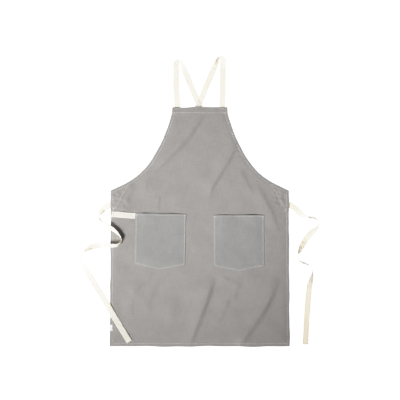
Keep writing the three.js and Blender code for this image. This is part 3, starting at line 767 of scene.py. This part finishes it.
inset = {"side": 0.0076, "bottom": 0.0095, "top": 0.0185, "armhole": 0.0076, "rowGap": 0.0015}
bottomRowY = hemY + inset["bottom"]
topRowY = bibTopY - inset["top"]
armholeInner = insetLine(armholeLine[1:], inset["armhole"])
for side, sign in sides.items():
    row = armholeInner[armholeInner[:, 1] < topRowY]
    row = row[row[:, 0] < skirtHalf(row[:, 1]) - inset["side"]]
    lowest = row[-1, 1]
    piece = addStitches(f"{side}_armhole_stitches", [row * (sign, 1)], clothTop,
                        replaces=[f"{side}_armhole_stitching_bib", f"{side}_armhole_stitching_skirt"])
    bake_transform(piece)
    sideYs = np.linspace(lowest, hemY + inset["rowGap"], 60)
    sideRow = np.column_stack([sign * (skirtHalf(sideYs) - inset["side"]), sideYs])
    addStitches(f"{side}_side_stitches", [sideRow], clothTop, "skirt", replaces=[f"{side}_side_stitching"])
topX = float(np.interp(-topRowY, -armholeInner[:, 1], armholeInner[:, 0]))
topTacks = [((s * topX - 0.0035, topRowY), (s * topX + 0.0035, topRowY), 0.0018) for s in (-1, 1)]
addStitches("top_hem_stitches", [[(-topX, topRowY), (topX, topRowY)]], clothTop, "bib",
            bars=topTacks, replaces=["top_hem_stitching"])
bottomX = float(skirtHalf(bottomRowY)) - inset["side"] - inset["rowGap"]
addStitches("bottom_hem_stitches", [[(-bottomX, bottomRowY), (0, bottomRowY), (bottomX, bottomRowY)]],
            clothTop, "skirt", replaces=["bottom_hem_stitching"])
print("hem stitches made")


# pockets
pocketSpec = {
    "width": 0.170, "side": 0.172, "point": 0.017, "spacing": 0.265, "drop": 0.079, "border": 0.003,
    "mouthInset": 0.0045, "mouthHem": 0.012, "layer": 0.0009, "thickness": 0.0008, "loft": 0.0009,
    "edgeLift": 0.0016, "gape": 0.0038, "turnedEdge": 0.007, "seamDent": 0.0004, "ripple": 0.0003,
    "underEdge": 0.0006, "sheet": 0.0006,
}
pocketLies = {
    "left": {"shift": 0.0, "turn": -1.1, "gapes": [(-55, 16, 1.0), (35, 26, 0.75)]},
    "right": {"shift": -0.005, "turn": 0.3, "gapes": [(45, 26, 1.0), (-45, 22, 0.8)]},
}


def pocketPlace(side):
    lies = pocketLies[side]
    angle = math.radians(lies["turn"])
    centreX = sides[side] * pocketSpec["spacing"] / 2
    centreY = cornerY - pocketSpec["drop"] + lies["shift"]

    def toPanel(u, v):
        return (centreX + u * math.cos(angle) - v * math.sin(angle),
                centreY + u * math.sin(angle) + v * math.cos(angle))
    return toPanel


def pocketRise(side, u, v):
    # how far the pocket's face stands off the panel
    half = pocketSpec["width"] / 2
    bottom = pocketSpec["side"] + pocketSpec["point"] * (1 - np.abs(u) / half)
    toEdge = np.minimum(half - np.abs(u), bottom + v)
    rise = pocketSpec["edgeLift"] + pocketSpec["loft"] * smoothstep(toEdge, 0.004, 0.03)
    rise = rise - pocketSpec["seamDent"] * hump(toEdge, pocketSpec["border"], 0.0012)
    near = smoothstep(v, -0.045, 0.0)
    for place, width, share in pocketLies[side]["gapes"]:
        rise = rise + pocketSpec["gape"] * share * near * hump(u * 1000, place, width)
    rise = rise + pocketSpec["ripple"] * rippled(u, v, waves[:8]) * smoothstep(toEdge, 0.005, 0.03)
    return rise


def makePocket(side):
    toPanel = pocketPlace(side)
    half = pocketSpec["width"] / 2
    mouth = turned(pocketSpec["mouthHem"])
    edge = turned(pocketSpec["turnedEdge"])
    downs = np.concatenate([np.linspace(0, 0.06, 22)[:-1], np.linspace(0.06, 1, 48)])
    rows = [("mouth", e, k) for e, k in reversed(mouth)] + [("main", t, 0.0) for t in downs]
    rows += [("foot", e, k) for e, k in edge]
    columns = hemmedColumns(edge, 62)
    points, weave = [], []
    for kind, place, rowDown in rows:
        for share, insetBy, columnDown in columns:
            u = share * half - np.sign(share) * insetBy
            bottom = -(pocketSpec["side"] + pocketSpec["point"] * (1 - min(abs(u), half) / half))
            if kind == "mouth":
                v = -place
            elif kind == "main":
                v = place * bottom
            else:
                v = bottom + place
            inHem = 1 - float(smoothstep(half - abs(u), pocketSpec["turnedEdge"], 0.012))
            wrapped = columnDown if insetBy != 0 else 0.0
            under = 1 + 2 * max(inHem, wrapped)
            down = (1 - rowDown) * columnDown + rowDown * (under - columnDown)
            x, y = toPanel(u, v)
            clampU, clampV = max(-half, min(half, u)), max(bottom, min(0.0, v))
            z = clothTop(x, y) + pocketRise(side, clampU, clampV) - pocketSpec["thickness"] / 2
            if kind == "foot" or columnDown:
                z -= min(down, 1.0) * pocketSpec["underEdge"]
            else:
                z -= down * pocketSpec["layer"] * 0.8
            toEdge = min(half - abs(clampU), clampV - bottom, -clampV)
            points.append((x, y, float(z)))
            weave.append((u + sides[side], v, 0.8 * float(hump(toEdge, 0.0, 0.0015))))
    made = addMesh(f"{side}_patch_pocket", points, gridFaces(len(rows), len(columns)), pocketCanvas, weave)
    thicken(made, pocketSpec["sheet"])
    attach(made, "skirt")
    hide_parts(f"{side}_pocket")
    return made


def addPocketStitches(side):
    toPanel = pocketPlace(side)
    sign = sides[side]
    angle = -math.radians(pocketLies[side]["turn"])
    centreX, centreY = toPanel(0.0, 0.0)

    def faceHeight(x, y):
        dx, dy = x - centreX, y - centreY
        u = dx * math.cos(angle) - dy * math.sin(angle)
        v = dx * math.sin(angle) + dy * math.cos(angle)
        half = pocketSpec["width"] / 2
        return clothTop(x, y) + pocketRise(side, np.clip(u, -half, half), v)

    def placed(line):
        return [toPanel(u, v) for u, v in line]

    half = pocketSpec["width"] / 2 - pocketSpec["border"]
    foot = pocketSpec["side"] - pocketSpec["border"]
    seam = placed([(half, -0.001), (half, -foot), (0, -foot - pocketSpec["point"]), (-half, -foot),
                   (-half, -0.001)])
    mouthY = -pocketSpec["mouthInset"]
    mouth = placed([(half - 0.0015, mouthY), (0, mouthY), (-half + 0.0015, mouthY)])
    ends = [(*placed([(s * half - 0.0045, mouthY), (s * half + 0.0035, mouthY)]), 0.0022) for s in (-1, 1)]
    addStitches(f"{side}_pocket_seam_stitches", [seam], faceHeight, "skirt",
                replaces=[f"{side}_pocket_stitching"])
    addStitches(f"{side}_pocket_mouth_stitches", [mouth], faceHeight, "skirt",
                replaces=[f"{side}_pocket_mouth_stitching"])
    for end, bar in (("inner", ends[0 if sign > 0 else 1]), ("outer", ends[1 if sign > 0 else 0])):
        addStitches(f"{side}_pocket_tack_{end}", [], faceHeight, "skirt", bars=[bar],
                    replaces=[f"{side}_pocket_bartack_{end}"])


for side in sides:
    makePocket(side)
    addPocketStitches(side)
print("pockets made")


# corner patches, behind the underarm corners
patch = {"width": 0.066, "depth": 0.066, "edge": 0.001, "hollow": 0.004, "height": 0.00036,
         "ripple": 0.00008, "thickness": 0.0006}


def patchInner():
    innerX = panel["waist"] / 2 - patch["width"]
    topY = float(np.interp(innerX, armholeLine[:, 0], armholeLine[:, 1]))
    lowX = panel["waist"] / 2 - panel["sideHem"] - 2 * inset["rowGap"]
    lowY = cornerY - patch["depth"]
    middle = ((innerX + lowX) / 2 + patch["hollow"], (topY + lowY) / 2 - patch["hollow"] / 2)
    share = np.linspace(0, 1, 40)[:, None]
    start, end = np.array([innerX, topY]), np.array([lowX, lowY])
    return (1 - share)**2 * start + 2 * (1 - share) * share * np.array(middle) + share**2 * end


def makePatch(side, sign):
    inner = patchInner()
    points, weave = [], []
    columns = 22
    for x0, y0 in inner:
        outerX = float(halfAt(y0))
        for k in range(columns):
            x = mix(x0, outerX - patch["edge"], k / (columns - 1))
            ripple = patch["ripple"] * float(rippled(np.array(x), np.array(y0), crumples))
            points.append((sign * x, y0, patch["height"] + abs(ripple)))
            weave.append((sign * x, y0, 0.0))
    made = addMesh(f"{side}_underarm_patch", points, gridFaces(len(inner), columns), apronCanvas, weave)
    thicken(made, patch["thickness"])
    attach(made, "skirt")
    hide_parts(f"{side}_corner_patch")
    row = inner[(inner[:, 1] < inner[0, 1] - 0.012) & (inner[:, 1] > cornerY - patch["depth"] + 0.004)]
    addStitches(f"{side}_patch_stitches", [row * (sign, 1)], clothTop, "skirt",
                replaces=[f"{side}_corner_patch_stitching"])
    tackX = sign * (float(skirtHalf(inner[-1, 1])) - inset["side"] - 2 * inset["rowGap"])
    tackY = inner[-1, 1] + (0.0 if side == "left" else -0.005)
    addStitches(f"{side}_patch_tack", [], clothTop, "skirt",
                bars=[((tackX, tackY + 0.009), (tackX, tackY), 0.002)],
                replaces=[f"{side}_corner_bartack"])


for side, sign in sides.items():
    makePatch(side, sign)
print("patches made")


# towel loop
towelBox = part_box("towel_loop")
towel = {"rise": 0.0034, "drop": 0.006, "flatEnd": 0.011, "off": 0.0004, "pastSide": 0.0055}


def towelRoute():
    startX, endX = towelBox[0].x - towel["pastSide"], towelBox[1].x - 0.0005
    startY = cornerY - pocketSpec["drop"] - 0.001
    length = endX - startX
    route = []
    for along in (0, 0.006, towel["flatEnd"], 0.02, length / 2, length - 0.02, length - towel["flatEnd"],
                  length - 0.006, length):
        inside = smoothstep(min(along, length - along), towel["flatEnd"], length / 2)
        x, y = startX + along, startY - towel["drop"] * along / length
        route.append([x, y, 0.0, float(clothTop(x, y)) + towel["off"] + towel["rise"] * float(inside)])
    return route


loopRoute = towelRoute()
towelLoop, _, _ = addWebbing("towel_loop_tape", loopRoute)
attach(towelLoop, "skirt")
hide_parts("towel_loop")
for end, place in (("side", loopRoute[1]), ("pocket", loopRoute[-2])):
    tapeTop = place[3] + webbing["thickness"]
    addStitches(f"towel_loop_tack_{end}", [], lambda x, y, top=tapeTop: np.full(np.shape(x), top), "skirt",
                bars=[((place[0], place[1] + 0.0085), (place[0], place[1] - 0.0085), 0.0018)],
                replaces=[f"towel_loop_bartack_{end}"])


# blank side label
labelSpec = {"onFace": 0.009, "proud": 0.0022, "behind": 0.007, "thickness": 0.00035}
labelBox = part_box("side_label")


def makeLabel():
    edgeX = -float(skirtHalf((labelBox[0].y + labelBox[1].y) / 2))
    outX = edgeX - labelSpec["proud"]
    ys = np.linspace(labelBox[0].y, labelBox[1].y, 22)
    profile = [(edgeX + labelSpec["onFace"], 0.0), (edgeX + 0.006, 0.0), (edgeX + 0.003, 0.0), (edgeX, 0.0),
               (outX + 0.001, 0.1), (outX, 0.5), (outX + 0.001, 0.9), (edgeX, 1.0),
               (edgeX + labelSpec["behind"], 1.0)]
    points, weave = [], []
    for i, y in enumerate(ys):
        for k, (x, share) in enumerate(profile):
            faceZ = float(clothTop(max(x, edgeX), y)) + 0.0004
            z = mix(faceZ, 0.0003, share) + 0.0002 * math.sin(i * 0.9)
            points.append((x, y, z))
            weave.append((k * 0.002, y, 1.0 if i < 3 or i > 18 else 0.0))
    made = addMesh("blank_side_label", points, gridFaces(len(ys), len(profile)), labelMaterial, weave)
    thicken(made, labelSpec["thickness"])
    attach(made, "skirt")
    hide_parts("side_label")


makeLabel()
print("loop and label made")


# shoulder straps
strap = {
    "inset": 0.007, "leftX": 0.080, "rightX": 0.078, "drift": 0.060, "crossingX": -0.0035,
    "crossingRise": 0.0095, "angle": 22.6, "turnRadius": 0.009, "turnRoll": 68.0, "endDrop": 0.014,
    "endInset": 0.016, "backPull": 0.170, "cornerPull": 0.132, "cornerRise": 0.022,
    "crossingReach": 0.034, "ramp": 0.030, "patchLift": 0.0011, "over": 0.0015, "joinY": 0.185,
}


def strapRoutes(side):
    # as if it lay on the right: the front limb, the turn over the shoulder and the way behind
    sign = sides[side]
    limbX = strap["rightX"] if sign > 0 else strap["leftX"]
    lift = strap["over"] if sign > 0 else 0.0
    angle = math.radians(strap["angle"])
    slope = math.tan(angle)
    radius = strap["turnRadius"]
    turnDepth = radius / math.tan(angle / 2) - radius
    sewnX = panel["bib"] / 2 - strap["inset"] - webbing["width"] / 2
    crossX = sign * strap["crossingX"]
    crossY = bibTopY + strap["crossingRise"]
    turnY = crossY + (limbX - crossX) / slope - turnDepth - radius

    def liftAt(y):
        beyond = max(0.0, abs(y - crossY) - strap["crossingReach"])
        return lift * max(0.0, 1 - beyond / strap["ramp"])

    def onLimb(y, roll=0.0, off=0.0):
        share = min(1.0, max(0.0, (y - bibTopY) / strap["drift"]))
        return [mix(sewnX, limbX, share), y, roll, off]

    def onTurn(degrees, roll):
        turnAngle = math.radians(degrees)
        return [limbX - radius + radius * math.cos(turnAngle), turnY + radius * math.sin(turnAngle), roll,
                0.0]

    def onDiagonal(y, roll=0.0):
        return [crossX + (y - crossY) * slope, y, roll, liftAt(y)]

    endX, endY = strap["endInset"] - panel["waist"] / 2, cornerY - strap["endDrop"]
    back = [(crossX, crossY),
            (crossX - strap["backPull"] * math.sin(angle), crossY - strap["backPull"] * math.cos(angle)),
            (endX + strap["cornerPull"], endY + strap["cornerRise"]), (endX, endY)]
    line = bezier(back, np.linspace(0, 1, 200))

    def onBack(y, x):
        overPatch = (patch["width"] + strap["ramp"] - panel["waist"] / 2 - x) / strap["ramp"]
        return [x, y, 0.0, liftAt(y) + strap["patchLift"] * min(1.0, max(0.0, overPatch))]

    shoulder = [onLimb(y) for y in (bibTopY - 0.018, bibTopY - 0.008, bibTopY, strapFoldY, strapFoldY + 0.020,
                                    strapFoldY + 0.050, turnY - 0.050)]
    shoulder += [onLimb(turnY - 0.028, 2), onLimb(turnY - 0.012, 8), onTurn(15, 22),
                 onTurn(55, 46), onTurn(100, strap["turnRoll"]), onTurn(140, strap["turnRoll"]),
                 onDiagonal(turnY - 0.010, 40), onDiagonal(turnY - 0.024, 8), onDiagonal(turnY - 0.048),
                 onDiagonal((turnY + strapFoldY) / 2), onDiagonal(strapFoldY + 0.030), onDiagonal(strapFoldY),
                 onDiagonal(bibTopY)]
    behind = [onBack(y, x) for x, y in line[12::8] if y < bibTopY - 0.006]
    high = [row for row in behind if row[1] > strap["joinY"]]
    low = [row for row in behind if row[1] < strap["joinY"]]
    joinX = float(np.interp(-strap["joinY"], -line[:, 1], line[:, 0]))
    join = onBack(strap["joinY"], joinX)
    place = [[sign, 1, sign, 1]]
    return (np.array(shoulder + high + [join]) * place,
            np.array([join] + low + [onBack(endY, endX)]) * place)


strapLengths = {}
for side in sides:
    upper, lower = strapRoutes(side)
    overShoulder, _, upperLength = addWebbing(f"{side}_strap_over_shoulder", upper)
    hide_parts(f"{side}_strap_sewn_end", f"{side}_shoulder_strap", f"{side}_back_strap_bib")
    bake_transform(overShoulder)
    behindSkirt, _, lowerLength = addWebbing(f"{side}_strap_behind", lower)
    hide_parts(f"{side}_back_strap_skirt")
    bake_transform(behindSkirt)
    strapLengths[side] = upperLength + lowerLength
    axisX, axisY = tieAxes[side][:2]
    sign = sides[side]
    slope = math.tan(math.radians(tie["angle"]))
    sewn = [[axisX - sign * d, axisY + d * slope, 0.0, tie["startLift"] / 1000] for d in tie["sewnFrom"]]
    sewnEnd, _, _ = addWebbing(f"{side}_tie_under_patch", sewn)
    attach(sewnEnd, "skirt")
    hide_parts(f"{side}_tie_sewn_end")
    tackY = bibTopY - 0.005
    tackX = sign * (panel["bib"] / 2 - strap["inset"] - webbing["width"] / 2)
    addStitches(f"{side}_strap_tack", [], lambda x, y: clothTop(x, y) - 0.0004, "bib",
                bars=[((tackX - 0.0085, tackY), (tackX + 0.0085, tackY), 0.0014)],
                replaces=[f"{side}_strap_bartack"])
print("straps made", strapLengths)

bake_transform(apronPanel)


# floor and light
floorSpec = {"size": 60.0, "glow": 1.6}
floorMesh = bpy.data.meshes.new("floor")
edge = floorSpec["size"] / 2
corners = [(-edge, -edge, 0), (edge, -edge, 0), (edge, edge, 0), (-edge, edge, 0)]
floorMesh.from_pydata(corners, [], [(0, 1, 2, 3)])
floorFinish = Finish("pale floor", Base_Color=colour(0.3, 0.3, 0.3), Roughness=0.9, Specular_IOR_Level=0.0,
                     Emission_Color=colour(1, 1, 1), Emission_Strength=floorSpec["glow"])
floorMesh.materials.append(floorFinish.material)
floor = bpy.data.objects.new("floor", floorMesh)
floor.location = (0, 0, -0.0002)
bpy.context.scene.collection.objects.link(floor)

light = {"from": (-3.85, -3.15, 6.4), "aim": (-0.14, 0.03, 0.0), "radius": 0.5, "ring": 1.05, "count": 6,
         "power": 3875.0, "cone": 14.9, "ambient": 0.135}
middle, aim = Vector(light["from"]), Vector(light["aim"])
sideways = (aim - middle).cross(Vector((0, 0, 1))).normalized()
upwards = sideways.cross(aim - middle).normalized()
offsets = [(0.0, 0.0)]
for i in range(light["count"]):
    turn = math.tau * i / light["count"]
    offsets.append((light["ring"] * math.cos(turn), light["ring"] * math.sin(turn)))
for i, (aside, above) in enumerate(offsets):   # one big soft lamp, as a ring of smaller ones
    lampData = bpy.data.lights.new(f"key_{i}", "SPOT")
    lampData.energy = light["power"] / len(offsets)
    lampData.spot_size = math.radians(light["cone"])
    lampData.spot_blend = 1.0
    lampData.shadow_soft_size = light["radius"]
    lamp = bpy.data.objects.new(f"key_{i}", lampData)
    lamp.location = middle + sideways * aside + upwards * above
    lamp.rotation_euler = (aim - lamp.location).to_track_quat("-Z", "Y").to_euler()
    bpy.context.scene.collection.objects.link(lamp)

world = bpy.context.scene.world or bpy.data.worlds.new("surroundings")
bpy.context.scene.world = world
world.use_nodes = True
world.node_tree.nodes["Background"].inputs["Color"].default_value = (1, 1, 1, 1)
world.node_tree.nodes["Background"].inputs["Strength"].default_value = light["ambient"]

# the brightest tones ease into white
tones = {"white": 1.6,
         "shoulder": [(0.2188, 0.35), (0.4375, 0.70), (0.5625, 0.865), (0.6875, 0.93), (0.8125, 0.965)]}
seen = bpy.context.scene.view_settings
seen.view_transform = "Standard"
seen.use_curve_mapping = True
seen.curve_mapping.white_level = (tones["white"],) * 3
for place, level in tones["shoulder"]:
    seen.curve_mapping.curves[3].points.new(place, level)
seen.curve_mapping.update()
print("floor and light set")
